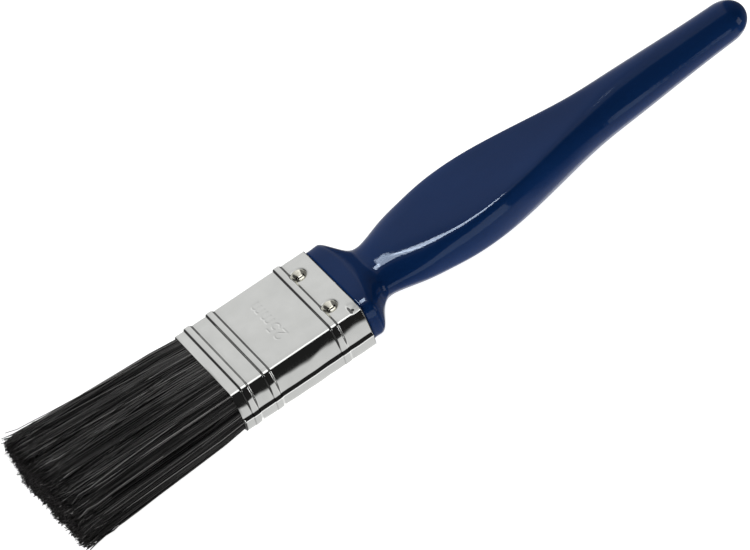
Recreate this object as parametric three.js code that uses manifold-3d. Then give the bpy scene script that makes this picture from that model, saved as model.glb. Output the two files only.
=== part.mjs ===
// A flat bristle paint brush, 25 mm wide, lying on its back face.
// X runs along the brush from the bristle tips to the end of the handle, Y across its width and
// Z through its thickness. The pieces are drawn from the ferrule's mouth at x = 0 on the ferrule's
// mid-plane, and the whole brush is then moved so that its box's bottom centre is the origin.
import * as THREE from "three";
import { LoftGeometry } from "three/addons/geometries/LoftGeometry.js";
import { mergeVertices } from "three/addons/utils/BufferGeometryUtils.js";
import Module from "manifold-3d";

// Driving dimensions, in millimetres
const FACE_WIDTH = 23.3; // outside of the ferrule, from long corner to long corner
const THICKNESS = 11.1; // outside of the ferrule, from wide face to wide face
const SHEET = 0.3; // the plated strip that the ferrule is wrapped from
const GAP = 0.3; // clearance between neighbouring pieces

const FERRULE_LENGTH = 32;
const FERRULE_CORNER = 0.7; // outside radius of its long corners
const MOUTH_BOW = 1.25; // how far the narrow sides bow out at the mouth
const HANDLE_END_BOW = 0.95; // and at the handle end
const BEAD_CENTRES = [3.2, 8.65, 25.4]; // distance of each rolled bead from the mouth
const BEAD_WIDTH = 2.2;
const BEAD_HEIGHT = 0.4;
const LAP_EDGE = -1.3; // height above the mid-plane where the strip's free edge ends, on the -Y side
const LAP_BEVEL = 0.1;

const BRISTLE_OUT = 40.2; // from the mouth to the tips
const BRISTLE_ROOT = 14.3; // from the mouth back to the setting
const TIP_HALF_WIDTH = 13.8; // the bundle fans out to its tips
const TIP_HALF_THICKNESS = 6.6;
const TIP_CORNER = 1.4;
const TIP_BOW = 0.9;
const MOUTH_SWELL = 0.5; // length over which it swells out again, just past the mouth
const MOUTH_SWELL_INSET = 0.2; // how far inside the ferrule's outer surface it is there
const BANK_SPLIT = 0.3; // daylight between the two banks

const SPACER_START = 2.7;
const SPACER_WIDTH = 20;
const SPACER_THICKNESS = 2.4;

const TANG_DEPTH = 11; // how far the handle reaches into the ferrule
const TANG_CHAMFER = 0.7;
const TANG_RADIUS = 11.75;
const HANDLE_LEAN = THREE.MathUtils.degToRad(1.1); // the tang sits a little askew, both ways
const HANDLE_LENGTH = 105.5; // beyond the ferrule
const HANDLE_TIP_RADIUS = 4.42;
const HANDLE_TIP_LENGTH = 5.5; // its rounded tip is a little longer than a half ball
const PLANED_EDGE = 16; // higher is a sharper edge between the turned side and the planed faces

// Sections of the handle, which is turned round and then planed flat on both faces: distance
// beyond the ferrule, turned radius and planed half thickness.
const HANDLE_SECTIONS = [
  [0.3, 12.35, 5.4],
  [2.2, 12.3, 5.4],
  [3.2, 12, 5.37],
  [4.3, 10.7, 5.22],
  [5.5, 8.7, 5],
  [7, 6.85, 4.65],
  [8.8, 6.1, 4.52],
  [11, 6.35, 4.65],
  [16.3, 7.93, 4.75],
  [21.9, 9.17, 4.76],
  [27.6, 10.12, 4.75],
  [33.2, 10.39, 4.76],
  [38.8, 10.07, 4.78],
  [47.2, 8.81, 4.82],
  [55.7, 7.28, 4.87],
  [64.2, 6.1, 5.04],
  [72.8, 5.61, 5.7],
  [84.1, 5.05, 6.1],
  [95.5, 4.55, 6.3],
  [HANDLE_LENGTH - HANDLE_TIP_LENGTH, HANDLE_TIP_RADIUS, 6.3],
];

const NAIL_FROM_END = 4.3; // nail centre to the ferrule's handle end
const NAIL_SPREAD = 6.3; // nail centre to the brush's middle line
const NAIL_HEAD_RADIUS = 1.65;
const NAIL_HEAD_RIM = 0.2;
const NAIL_HEAD_HEIGHT = 1.2;
const NAIL_HEAD_GAP = 0.1; // under the head
const NAIL_SHANK_RADIUS = 0.5;
const NAIL_SHANK_LENGTH = 4.1;
const NAIL_POINT_LENGTH = 0.9;

// Fineness of the round work
const TURNED_POINTS = 40;
const CORNER_STEPS = 5;
const SIDE_STEPS = 4;
const BEAD_STEPS = 6;
const SHANK_SIDES = 12;
const HEAD_SIDES = 20;
const DOME_STEPS = 5;
const TIP_STEPS = 6;
const CUT_OVERRUN = 1; // how far a cutting body runs past what it cuts

const wasm = await Module();
wasm.setup();

// A geometry with its positions and faces only, its shared vertices merged.
function bare(geometry) {
  const positions = new THREE.BufferGeometry();
  positions.setAttribute("position", geometry.getAttribute("position"));
  positions.setIndex(geometry.index);
  return mergeVertices(positions, 1e-4);
}

// A closed three.js geometry as a solid that can be joined and cut.
function solid(geometry) {
  const merged = bare(geometry);
  return new wasm.Manifold(
    new wasm.Mesh({
      numProp: 3,
      vertProperties: merged.attributes.position.array,
      triVerts: new Uint32Array(merged.index.array),
    }),
  );
}

// The three.js geometry of a solid, with flat shading.
function geometryOf(body) {
  const { vertProperties, triVerts } = body.getMesh();
  const indexed = new THREE.BufferGeometry();
  indexed.setAttribute("position", new THREE.BufferAttribute(vertProperties, 3));
  indexed.setIndex(new THREE.BufferAttribute(triVerts, 1));
  const geometry = indexed.toNonIndexed();
  geometry.computeVertexNormals();
  return geometry;
}

// A closed body skinned over rings that follow each other along +X.
function loft(rings) {
  return bare(new LoftGeometry(rings, { capStart: true, capEnd: true }));
}

// A box between two corners, as a solid.
function block(low, high) {
  const size = new THREE.Vector3().subVectors(high, low);
  const box = new THREE.BoxGeometry(size.x, size.y, size.z);
  return solid(box.translate(...low.clone().add(high).multiplyScalar(0.5)));
}

// A ring in the plane at x, leaning away from the X axis as the handle does: a circle planed flat
// above and below, with its edges eased.
function turnedRing([x, radius, halfThickness]) {
  const offset = Math.tan(HANDLE_LEAN) * (x - (FERRULE_LENGTH - TANG_DEPTH / 2));
  return Array.from({ length: TURNED_POINTS }, (_, i) => {
    const angle = (2 * Math.PI * (i + 0.5)) / TURNED_POINTS;
    const turned = radius ** -PLANED_EDGE;
    const planed = (Math.abs(Math.sin(angle)) / halfThickness) ** PLANED_EDGE;
    const reach = (turned + planed) ** (-1 / PLANED_EDGE);
    return new THREE.Vector3(
      x,
      offset + reach * Math.cos(angle),
      offset + reach * Math.sin(angle),
    );
  });
}

// Heights of the points down a narrow side between its two corners. The lap's edge always has a
// pair of points, so that every ring holds the same number.
function sideHeights(straight) {
  const plain = Array.from(
    { length: SIDE_STEPS - 1 },
    (_, i) => straight * (1 - (2 * (i + 1)) / SIDE_STEPS),
  );
  return [...plain, LAP_EDGE + LAP_BEVEL, LAP_EDGE - LAP_BEVEL].sort((a, b) => b - a);
}

// A rounded rectangle in the plane at x. Its narrow sides bow out by `bow`, and below the lap's
// edge the -Y side and its corner stand out by `lap` more.
function boxRing(x, halfWidth, halfThickness, radius, bow, lap = 0) {
  const straightY = halfWidth - radius;
  const straightZ = halfThickness - radius;
  const ring = [];
  const add = (y, z, normalY) => {
    const bowed = y + Math.sign(y) * bow * (1 - (z / halfThickness) ** 2);
    const lapped = normalY < 0 && z < LAP_EDGE ? lap * normalY : 0;
    ring.push(new THREE.Vector3(x, bowed + lapped, z));
  };
  const addCorner = (signY, signZ, startAngle) => {
    for (let i = 0; i <= CORNER_STEPS; i++) {
      const angle = startAngle + (Math.PI / 2) * (i / CORNER_STEPS);
      const y = signY * straightY + radius * Math.cos(angle);
      add(y, signZ * straightZ + radius * Math.sin(angle), Math.cos(angle));
    }
  };
  addCorner(1, 1, 0);
  addCorner(-1, 1, Math.PI / 2);
  for (const z of sideHeights(straightZ)) add(-halfWidth, z, -1);
  addCorner(-1, -1, Math.PI);
  addCorner(1, -1, 1.5 * Math.PI);
  for (const z of sideHeights(straightZ).reverse()) add(halfWidth, z, 1);
  return ring;
}

// How far the ferrule's narrow sides bow out at a distance from the mouth.
function bowAt(x) {
  const along = THREE.MathUtils.clamp(x / FERRULE_LENGTH, 0, 1);
  return THREE.MathUtils.lerp(MOUTH_BOW, HANDLE_END_BOW, along);
}

// A ring inside the ferrule, `inset` in from its outer surface.
function innerRing(x, inset) {
  const radius = FERRULE_CORNER - SHEET;
  return boxRing(x, FACE_WIDTH / 2 - inset, THICKNESS / 2 - inset, radius, bowAt(x));
}

// The four nail axes: name, side across the brush, and face.
const NAILS = [
  ["nail_front_left", 1, 1],
  ["nail_front_right", -1, 1],
  ["nail_back_left", 1, -1],
  ["nail_back_right", -1, -1],
].map(([name, side, face]) => ({
  name,
  face,
  x: FERRULE_LENGTH - NAIL_FROM_END,
  y: side * NAIL_SPREAD,
}));

// Holes for the four shanks, reaching in to `depth` below the ferrule's outer surface.
function nailHoles(depth) {
  const length = depth + CUT_OVERRUN;
  return NAILS.map(({ x, y, face }) => {
    const radius = NAIL_SHANK_RADIUS + GAP;
    const hole = new THREE.CylinderGeometry(radius, radius, length, SHANK_SIDES);
    hole.rotateX(Math.PI / 2);
    hole.translate(x, y, face * (THICKNESS / 2 + CUT_OVERRUN - length / 2));
    return solid(hole);
  }).reduce((all, hole) => all.add(hole));
}

// The wrapped strip: a thin tube with three rolled beads, a lapped edge and four nail holes.
function makeFerrule() {
  const shellRing = (x, proud) => {
    const halfWidth = FACE_WIDTH / 2 + proud;
    const halfThickness = THICKNESS / 2 + proud;
    return boxRing(x, halfWidth, halfThickness, FERRULE_CORNER + proud, bowAt(x), SHEET);
  };
  const rings = [shellRing(0, 0)];
  for (const centre of BEAD_CENTRES) {
    for (let i = 0; i <= BEAD_STEPS; i++) {
      const across = (2 * i) / BEAD_STEPS - 1;
      const proud = (BEAD_HEIGHT * (1 + Math.cos(Math.PI * across))) / 2;
      rings.push(shellRing(centre + (across * BEAD_WIDTH) / 2, proud));
    }
  }
  rings.push(shellRing(FERRULE_LENGTH, 0));
  const stations = [-CUT_OVERRUN, 0, FERRULE_LENGTH, FERRULE_LENGTH + CUT_OVERRUN];
  const hollow = loft(stations.map((x) => innerRing(x, SHEET)));
  const tube = solid(loft(rings)).subtract(solid(hollow));
  return geometryOf(tube.subtract(nailHoles(SHEET + CUT_OVERRUN)));
}

// The handle: a tang inside the ferrule, a square shoulder, a waist, a flat belly and a round tail.
function makeHandle() {
  const halfThickness = THICKNESS / 2 - SHEET - GAP;
  const tangStart = FERRULE_LENGTH - TANG_DEPTH;
  const tangEnd = FERRULE_LENGTH + HANDLE_SECTIONS[0][0] - GAP / 2;
  const rings = [
    [tangStart, TANG_RADIUS - TANG_CHAMFER, halfThickness - TANG_CHAMFER],
    [tangStart + TANG_CHAMFER, TANG_RADIUS, halfThickness],
    [tangEnd, TANG_RADIUS, halfThickness],
  ];

  const starts = HANDLE_SECTIONS.map(([along]) => along);
  const sizes = HANDLE_SECTIONS.flatMap(([, ...section]) => section);
  const between = new THREE.CubicInterpolant(starts, sizes, 2);
  const sectionAt = (along) => [FERRULE_LENGTH + along, ...between.evaluate(along)];
  for (let i = 0; i < starts.length - 1; i++) {
    rings.push(sectionAt(starts[i]));
    rings.push(sectionAt((starts[i] + starts[i + 1]) / 2));
  }
  const tipCentre = HANDLE_LENGTH - HANDLE_TIP_LENGTH;
  for (let i = 0; i < TIP_STEPS; i++) {
    const angle = (Math.PI / 2) * (i / TIP_STEPS);
    const x = FERRULE_LENGTH + tipCentre + HANDLE_TIP_LENGTH * Math.sin(angle);
    rings.push([x, HANDLE_TIP_RADIUS * Math.cos(angle), THICKNESS / 2]);
  }
  const body = solid(loft(rings.map(turnedRing)));
  return geometryOf(body.subtract(nailHoles(NAIL_SHANK_LENGTH + GAP)));
}

// A domed nail on the Z axis: the underside of its head is at z = 0 and its point is below.
function makeNail() {
  const profile = [
    [0, -NAIL_SHANK_LENGTH],
    [NAIL_SHANK_RADIUS, NAIL_POINT_LENGTH - NAIL_SHANK_LENGTH],
    [NAIL_SHANK_RADIUS, 0],
    [NAIL_HEAD_RADIUS, 0],
  ];
  for (let i = 0; i < DOME_STEPS; i++) {
    const angle = (Math.PI / 2) * (i / DOME_STEPS);
    const rise = (NAIL_HEAD_HEIGHT - NAIL_HEAD_RIM) * Math.sin(angle);
    profile.push([NAIL_HEAD_RADIUS * Math.cos(angle), NAIL_HEAD_RIM + rise]);
  }
  profile.push([0, NAIL_HEAD_HEIGHT]);
  const points = profile.map(([radius, height]) => new THREE.Vector2(radius, height));
  return new THREE.LatheGeometry(points, HEAD_SIDES).rotateX(Math.PI / 2);
}

// The cured block across the ferrule that the filament roots and the spacer are set in.
function makeSetting() {
  const start = BRISTLE_ROOT + GAP;
  const end = FERRULE_LENGTH - TANG_DEPTH - GAP;
  return loft([start, end].map((x) => innerRing(x, SHEET + GAP)));
}

// The strip that parts the two banks at their roots, with its mouth edge rounded.
function makeSpacer() {
  const start = SPACER_START + SPACER_THICKNESS / 2;
  const half = SPACER_THICKNESS / 2;
  const outline = new THREE.Shape();
  outline.moveTo(BRISTLE_ROOT, -half);
  outline.lineTo(BRISTLE_ROOT, half);
  outline.lineTo(start, half);
  outline.absarc(start, 0, half, Math.PI / 2, 1.5 * Math.PI, false);
  const options = { depth: SPACER_WIDTH, bevelEnabled: false, curveSegments: 8 };
  const strip = new THREE.ExtrudeGeometry(outline, options);
  return strip.rotateX(Math.PI / 2).translate(0, SPACER_WIDTH / 2, 0);
}

// Half of the bristles, on the front (+1) or back (-1) side of the mid-plane: straight inside the
// ferrule, fanning out to the tips, and notched round the spacer.
function makeBank(face) {
  const inset = SHEET + GAP;
  const rings = [
    boxRing(-BRISTLE_OUT, TIP_HALF_WIDTH, TIP_HALF_THICKNESS, TIP_CORNER, TIP_BOW),
    innerRing(-MOUTH_SWELL, MOUTH_SWELL_INSET),
    innerRing(0, inset),
    innerRing(BRISTLE_ROOT, inset),
  ];
  const far = CUT_OVERRUN + BRISTLE_OUT;
  const side = [face * (BANK_SPLIT / 2), face * far].sort((a, b) => a - b);
  const half = block(new THREE.Vector3(-far, -far, side[0]), new THREE.Vector3(far, far, side[1]));
  const notchWidth = SPACER_WIDTH / 2 + GAP;
  const notchThickness = SPACER_THICKNESS / 2 + GAP;
  const notch = block(
    new THREE.Vector3(SPACER_START - GAP, -notchWidth, -notchThickness),
    new THREE.Vector3(far, notchWidth, notchThickness),
  );
  return geometryOf(solid(loft(rings)).intersect(half).subtract(notch));
}

const brush = new THREE.Group();

function addPiece(name, geometry, color, roughness, metalness) {
  const material = new THREE.MeshStandardMaterial({ color, roughness, metalness });
  const mesh = new THREE.Mesh(geometry, material);
  mesh.name = name;
  brush.add(mesh);
  return mesh;
}

addPiece("handle", makeHandle(), 0x14234a, 0.15, 0);
addPiece("ferrule", makeFerrule(), 0xc8c8c6, 0.2, 1);
for (const { name, face, x, y } of NAILS) {
  const nail = addPiece(name, makeNail(), 0xd2cca8, 0.2, 1);
  nail.position.set(x, y, face * (THICKNESS / 2 + NAIL_HEAD_GAP));
  nail.rotation.x = face > 0 ? 0 : Math.PI;
}
addPiece("resin_setting", makeSetting(), 0xb08a4a, 0.35, 0);
addPiece("spacer_plug", makeSpacer(), 0xc9a873, 0.7, 0);
addPiece("filament_bank_front", makeBank(1), 0x1c1b1c, 0.45, 0);
addPiece("filament_bank_back", makeBank(-1), 0x1c1b1c, 0.45, 0);

const box = new THREE.Box3().setFromObject(brush);
const middle = box.getCenter(new THREE.Vector3());
brush.position.set(-middle.x, -middle.y, -box.min.z);

export default brush;
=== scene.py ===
import math

import bpy
import numpy as np
from mathutils import Matrix, Vector


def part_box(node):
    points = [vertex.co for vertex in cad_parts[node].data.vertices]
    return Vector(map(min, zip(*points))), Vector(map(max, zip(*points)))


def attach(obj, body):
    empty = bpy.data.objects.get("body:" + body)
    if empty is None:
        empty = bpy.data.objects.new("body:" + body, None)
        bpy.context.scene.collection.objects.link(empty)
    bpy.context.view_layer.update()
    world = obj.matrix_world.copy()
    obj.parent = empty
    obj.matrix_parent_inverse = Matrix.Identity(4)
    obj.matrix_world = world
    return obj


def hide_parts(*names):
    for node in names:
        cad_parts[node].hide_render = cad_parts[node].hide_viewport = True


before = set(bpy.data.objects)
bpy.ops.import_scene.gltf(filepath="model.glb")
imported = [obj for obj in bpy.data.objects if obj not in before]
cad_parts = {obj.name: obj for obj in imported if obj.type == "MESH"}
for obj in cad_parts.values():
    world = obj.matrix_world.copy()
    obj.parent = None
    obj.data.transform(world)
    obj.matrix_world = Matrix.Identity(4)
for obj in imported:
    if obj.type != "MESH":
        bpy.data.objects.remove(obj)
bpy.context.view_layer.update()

MM = 0.001
SEED = 25

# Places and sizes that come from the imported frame
FERRULE_LOW, FERRULE_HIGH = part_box("ferrule")
HANDLE_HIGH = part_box("handle")[1]
ORIGIN = Vector((FERRULE_LOW.x, 0, (FERRULE_LOW.z + FERRULE_HIGH.z) / 2))
FERRULE_LENGTH = (FERRULE_HIGH.x - FERRULE_LOW.x) / MM
HANDLE_LENGTH = (HANDLE_HIGH.x - FERRULE_HIGH.x) / MM
NAILS = ("nail_front_left", "nail_front_right", "nail_back_left", "nail_back_right")
NAIL_LOW, NAIL_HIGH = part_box(NAILS[0])
NAIL_ROW = ((NAIL_LOW.x + NAIL_HIGH.x) / 2 - FERRULE_LOW.x) / MM
BRISTLE_OUT = (FERRULE_LOW.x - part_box("filament_bank_front")[0].x) / MM
TANG_DEPTH = (FERRULE_HIGH.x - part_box("handle")[0].x) / MM

# The ferrule
FACE_WIDTH = 23.3
THICKNESS = 11.1
SHEET = 0.3
FERRULE_CORNER = 0.7
MOUTH_BOW = 1.25
HANDLE_END_BOW = 0.95
BEAD_CENTRES = (3.2, 8.65, 25.4)  # distance of each rolled bead from the mouth
BEAD_HALF_WIDTH = 1.1
BEAD_HEIGHT = 0.4
BEAD_RISE = 0.4  # length of the bead's flank towards the mouth
BEAD_FALL = 0.65  # and towards the handle
BEAD_CROWN = 0.05  # how much higher its middle is than its shoulders
BEAD_DIP = 0.03  # the sheet is drawn in a little beside each bead
BEAD_DIP_WIDTH = 0.3
LIP = 0.08  # rounding of the strip's edges at the two ends
SHEET_WAVES = (0.012, 0.005)  # height of the sheet's slow and quick unevenness
LAP_EDGE = -1.3  # height above the mid-plane where the outer layer's edge is, on the -Y side
LAP_RAMP = 0.5  # half the height over which the outer layer lifts off the under layer
LAP_LIP = 0.17  # the outer layer's edge is turned up by this
LAP_LIP_WIDTH = 0.26
LAP_FLUTTER = 0.035  # the narrow side isn't quite even
LOW_WAVE = 0.07  # and its lower corner, in the outer layer, is less even still
LAP_BEADS = 0.25  # the beads fade to this share of their height along the lap
LAP_FADE = (-3.0, 0.3, 5.0, 11.0)  # the fade's start and end along -z, and along -y
NAIL_DIMPLE = 0.26  # the sheet is driven in round the nails
NAIL_DIMPLE_FLAT = 0.8  # it's deepest under this share of the head's radius
NAIL_DIMPLE_REACH = 0.42
NAIL_DIMPLE_END = (2.4, 1.8)  # towards the mouth it fades out between these distances
CORNER_DENT = (30.5, -10.8, 0.34)  # x, y and depth of a dent by the front corner
CORNER_DENT_REACH = (0.5, 1.5, 1.5)  # towards the mouth, towards the handle, and across
DENT_BLEND = (0.2, 0.95)  # the upward normal where the dents start, and where they're full
FACE_NORMAL = 0.99  # a point whose normal leans this far out is on that face

# The spacing of the ferrule's points, which is finer in the zones named here
FACE_STEP = 0.2
BACK_STEP = 0.5
SIDE_STEP = 0.35
RING_STEP = 0.5
INNER_STEP = 4
NEAREST_POINTS = 0.04
CORNER_POINTS = 9
LIP_POINTS = 6
MARK_STEP = 0.12
MARK_MARGIN = 0.4
LAP_STEP = 0.07
LAP_ZONE = (1.3, 0.8)  # below and above the lap's edge
BEAD_STEP = 0.08
BEAD_ZONE = 1.2  # either side of a bead's centre
NAIL_STEP = 0.2
NAIL_ZONE = (3.5, 10.5)  # across, from the middle line
NAIL_ROW_ZONE = 2.8  # along, from the nails towards the mouth

# The stamped size mark
MARK_CENTRE = 16.2  # distance from the mouth
MARK_HEIGHT = 2.6
MARK_WIDTH = 12.4
MARK_STROKE = 0.3
MARK_FLANK = (0.25, 0.85)  # where a stroke's flank starts and ends, as shares of its width
MARK_DEPTH = 0.05

# The handle: distance beyond the ferrule, turned radius, planed half thickness, edge sharpness,
# and how much the planed faces are sanded down towards their edges
HANDLE_SECTIONS = (
    (0.0, 12.55, 5.42, 8.5, 0.02),
    (2.1, 12.68, 5.42, 8, 0.02),
    (3.1, 12.72, 5.42, 7.5, 0.05),
    (3.8, 12.3, 5.42, 6.5, 0.1),
    (4.8, 10.92, 5.25, 5.8, 0.15),
    (5.9, 9.15, 4.95, 5.5, 0.2),
    (7.3, 7.72, 4.55, 4.5, 0.3),
    (8.8, 7.19, 4.5, 4.2, 0.34),
    (11.0, 7.48, 4.72, 4.2, 0.34),
    (16.3, 8.94, 4.82, 5.5, 0.22),
    (21.9, 9.71, 4.78, 8, 0.08),
    (27.6, 10.3, 4.75, 12, 0.02),
    (33.2, 10.37, 4.76, 17, 0),
    (38.8, 9.97, 4.78, 22, 0),
    (47.2, 8.73, 4.82, 22, 0),
    (55.7, 7.26, 4.87, 18, 0),
    (64.2, 6.12, 5.04, 13, 0),
    (72.8, 5.62, 5.7, 12, 0),
    (84.1, 5.05, 6.1, 12, 0),
    (95.5, 4.55, 6.3, 12, 0),
    (100.7, 4.42, 6.3, 12, 0),
)
HANDLE_LEAN = math.radians(1.1)  # across and upwards
HANDLE_TIP_RADIUS = 4.42
HANDLE_TIP_LENGTH = 5.5  # a little longer than a half ball
SHOULDER_SKEW = 0.036  # the shoulder was turned a little out of square
SHOULDER_SKEW_ZONE = (0.5, 2.5, 8, 16)  # where that starts, is full, starts to fade, and ends
SHOULDER_GAP = 0.2
SHOULDER_ROUND = 0.45
TANG_RADIUS = 11.75
TANG_HALF_THICKNESS = 4.95
TANG_CHAMFER = 0.7
TANG_SHARPNESS = 16
HANDLE_STEP = 0.5
HANDLE_TIP_RINGS = 26
NECK_END = 14  # the rings are closer together up to here
NECK_STEP = 0.25
QUARTER_POINTS = 44  # points round a quarter of the handle

# The bristles
MOUTH_HALF = (FACE_WIDTH / 2, THICKNESS / 2, FERRULE_CORNER, MOUTH_BOW)
TIP_HALF = (13.5, 6.5, 1.4, 0.9)  # half width, half thickness, corner radius, bow
BOW_MEAN = 0.67  # a bow's mean height, as a share of its full height
MOUTH_SQUEEZE = 0.34  # the ferrule's mouth holds the bundle in by this,
MOUTH_SWELL = 0.5  # and it swells out again over about this length
BANK_SPLIT = 0.15  # half the daylight between the two banks
STRAND_SIDES = 3
STRAND_RADIUS = 0.14
STRAND_TIP_RADIUS = 0.09
STRAND_TAPER_POWER = 2.2  # higher keeps it thick for longer
STRAND_SWAY = 0.45  # how far a strand's tip wanders from its place across the bundle
SWAY_THROUGH = 0.6  # as a share of that, how far it wanders through the bundle
SWAY_POWER = 1.2  # higher keeps it straight for longer
STRAND_BEND = 0.1  # how far it bends aside on the way
STRAND_FLICK = 0.3  # how far its last few millimetres are kinked aside
FLICK_SHARES = (0.4, 0.7, 1)  # by how much of that at each of its last three points
TIP_STEPS = (0.78, 0.88, 0.94, 1)  # where a full-length strand has its last points
STRAYS = 0.2  # share of strands that cross over the others
STRAY_SWAY = 2.7  # how far a stray wanders across the bundle
STRAY_LIFT = 0.25  # and how far it stands out over its neighbours
TIP_REACH = 1.3  # the longest strands stand this far beyond the bundle's blunt end
TIP_SLANT = 0.3  # and those on the +Y side a little further
TIP_RAGGED = 0.9  # how much shorter strands are than the longest, commonly
CUT_SHORT = 0.3  # share of strands that end early
CUT_LENGTH = 5.0  # and by how much at most
LOCK_SPACING = 0.9  # the strands gather into small locks, which stand this far apart
LOCK_PULL = 0.3  # how far a strand is drawn to its lock's middle, as a share
LOCK_DRIFT = 0.25  # how far a lock's tip wanders
LOCK_BEND = 0.12  # how far it bends aside on the way
LOCK_RAGGED = 0.5  # how much shorter it is than the longest, on average
LOCK_TONE_AND_SHEEN = 0.15  # share of a strand's paleness that it has in common with its lock; the paleness is partly its own and partly painted sheen
LOCK_BATCHES = 16  # the strands find their locks in this many batches, which saves memory
SHEEN_STRAND_RARITY = 9  # higher makes pale strands rarer; their paleness is painted sheen
SKIN_DEPTH = 0.8  # strands within this of the surface are modelled at full length
SKIN_DENSITY = 30  # strands to the square millimetre of cross-section
SKIN_ROOT = 2.0  # how far they reach into the ferrule
SKIN_RINGS = 8
STUB_DENSITY = 18  # below the skin only the strands' ends are modelled
STUB_LENGTH = 9
STUB_RINGS = 4
CORE_INSET = 0.75  # the dark core's distance below the bundle's surface,
CORE_SHORT = 5.5  # and from its tips
CORE_ROOT = 6
CORE_RINGS = 14

# The nails
NAIL_HEAD_RADIUS = 1.68
NAIL_HEAD_HEIGHT = 1.0
NAIL_SEAT = 0.02  # the head's height above the bottom of its dimple
NAIL_BRIM = 0.18  # height at which its dome starts
NAIL_BRIM_ROUND = 0.13
NAIL_BRIM_INSET = 0.12  # its flat underside stops this far inside the rim
NAIL_DOME_RADIUS = 1.36
NAIL_DOME_POWER = 0.8  # lower is a blunter dome
NAIL_SHANK_RADIUS = 0.5
NAIL_SHANK_LENGTH = 4.1
NAIL_FILLET = 0.1  # under the head
NAIL_POINT = 0.9
NAIL_POINT_RADIUS = 0.05
NAIL_TURN = 7.5  # degrees between the points round a nail

# The camera, found from the brush's outline in perspective
CAMERA_AZIMUTH = math.radians(-15.87)
CAMERA_ELEVATION = math.radians(42.97)
CAMERA_ROLL = math.radians(-22.9)
CAMERA_LENS = 256.7
CAMERA_SENSOR = 36
CAMERA_DISTANCE = 1.092  # metres, and so is its aim
CAMERA_AIM = Vector((-0.00782, -0.00049, 0.00685))

# The floor
FLOOR_REACH = 6.0  # metres from the middle to its edges
FLOOR_GLOW = (0.75, 1.0)  # its brightness for other rays, and for the camera's own

# The studio, which shows only in reflections: brightness by angle in degrees round the X axis,
# from 0 on the +Y horizon up to 90 straight overhead, and by direction along X
TENT_LEVELS = (
    (-180, 0.018),
    (-157, 0.018),
    (-152, 0.8),
    (-128, 0.85),
    (-94, 0.85),
    (-90, 1.6),
    (-72, 1.6),
    (-68, 0.85),
    (48, 0.87),
    (56, 0.72),
    (64, 0.87),
    (97, 0.87),
    (102, 0.05),
    (146, 0.018),
    (180, 0.018),
)
SIDE_LEVELS = (
    (-1, 0.06),
    (-0.3, 0.08),
    (-0.2, 0.6),
    (0.0, 0.85),
    (0.15, 1),
    (0.28, 1),
    (0.36, 1.25),
    (0.44, 1.25),
    (0.52, 0.2),
    (1, 0.2),
)

# Lamps: place in metres, width along X, height and brightness. The first two light the matt part
# of surfaces, and the others show only in reflections.
SKY = ((-0.5, 0.5, 0.85), 2.0, 1.8, 1.15)
BRISTLE_FILL = ((-0.7, -0.45, 0.7), 0.8, 0.8, 0.9)
HANDLE_SOFTBOXES = {
    "key": ((-0.105, 0.35, 0.937), 0.29, 0.5, 30),
    "key_edge": ((0.125, 0.25, 0.96), 0.25, 0.26, 44),
    "table": ((-0.06, -0.96, -0.25), 1.08, 0.36, 2.8),
}
FERRULE_SOFTBOX = ((0.2, -0.52, 0.86), 1.1, 0.62, 1.6)
OTHER_SOFTBOXES = {
    "end_low": ((0.78, -0.6, -0.12), 0.3, 0.5, 2.5),
    "start_low": ((-0.72, -0.68, 0.1), 0.3, 0.3, 2.0),
}
SOFTBOX_BLUE = (0.7, 0.83, 1.0)


# ---------------------------------------------------------------- shapes


def in_frame(points):
    """Points in millimetres from the mouth's middle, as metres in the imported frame."""
    return np.asarray(points, float) * MM + np.array(ORIGIN)


def smooth_step(value, low, high):
    """0 below low, 1 above high, and an S-curve between them."""
    t = np.clip((value - low) / (high - low), 0, 1)
    return t * t * (3 - 2 * t)


def spline(xs, ys, at):
    """A natural cubic spline through the points (xs, ys), read at `at`."""
    xs, ys = np.asarray(xs, float), np.asarray(ys, float)
    steps = np.diff(xs)
    slopes = np.diff(ys) / steps
    count = len(xs)
    system = np.eye(count)
    right = np.zeros(count)
    for i in range(1, count - 1):
        system[i, i - 1 : i + 2] = steps[i - 1], 2 * (steps[i - 1] + steps[i]), steps[i]
        right[i] = 6 * (slopes[i] - slopes[i - 1])
    bends = np.linalg.solve(system, right)
    i = np.clip(np.searchsorted(xs, at) - 1, 0, count - 2)
    step, after, before = steps[i], at - xs[i], xs[i + 1] - at
    cubic = (bends[i] * before**3 + bends[i + 1] * after**3) / (6 * step)
    start = (ys[i] / step - bends[i] * step / 6) * before
    end = (ys[i + 1] / step - bends[i + 1] * step / 6) * after
    return cubic + start + end


def spread(*ranges):
    """Sorted values from several (start, end, step) ranges, leaving out near repeats."""
    values = np.concatenate([np.arange(a, b + step / 2, step) for a, b, step in ranges])
    values = np.sort(values)
    keep = np.append(True, np.diff(values) > NEAREST_POINTS)
    return values[keep]


def arc(start, end, count):
    """Angles in radians, spread evenly between two angles in degrees."""
    return np.radians(np.linspace(start, end, count))


def ripple(first, second):
    """An uneven wave between -1 and 1, from two phases that drift along a surface."""
    return np.sin(first) * np.sin(second)


def piece(name, points, faces, material, stands_for, attributes=None):
    """A smooth-shaded mesh piece that rides with the brush and stands for its CAD nodes."""
    mesh = bpy.data.meshes.new(name)
    mesh.from_pydata(in_frame(points).tolist(), [], faces)
    for key, values in (attributes or {}).items():
        layer = mesh.attributes.new(key, "FLOAT", "POINT")
        layer.data.foreach_set("value", np.asarray(values, np.float32))
    mesh.polygons.foreach_set("use_smooth", [True] * len(mesh.polygons))
    mesh.materials.append(material)
    mesh.update()
    made = bpy.data.objects.new(name, mesh)
    bpy.context.scene.collection.objects.link(made)
    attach(made, "root")
    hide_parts(*stands_for)
    return made


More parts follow.
